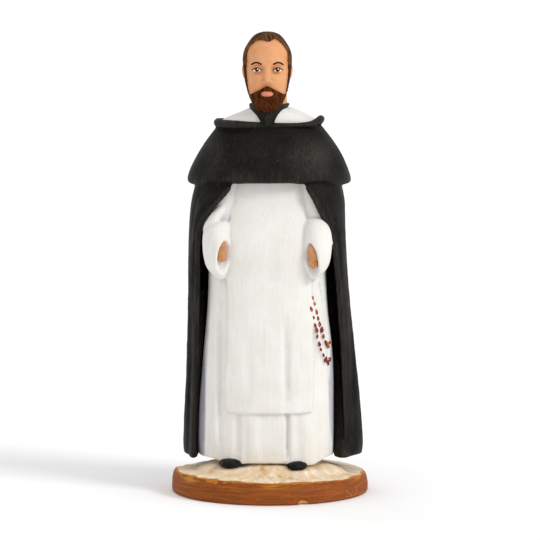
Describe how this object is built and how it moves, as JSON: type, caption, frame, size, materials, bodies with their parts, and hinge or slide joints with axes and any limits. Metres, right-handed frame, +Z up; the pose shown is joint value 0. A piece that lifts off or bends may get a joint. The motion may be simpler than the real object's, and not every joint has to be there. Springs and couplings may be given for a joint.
{
  "type": "santon figure",
  "caption": "Small painted clay figure of a standing friar in a white habit and an open black cloak, cast as one with its round base",
  "frame": {"origin": "bottom centre of the round base, on its underside", "axes": "+Z up along the standing figure; the figure faces -Y; +X to the viewer's right"},
  "size_m": [0.0296, 0.0296, 0.07],
  "materials": {
    "painted_clay": "matt hand-painted fired clay"
  },
  "bodies": {
    "root": {"santon_figure": "painted_clay"}
  },
  "joints": []
}
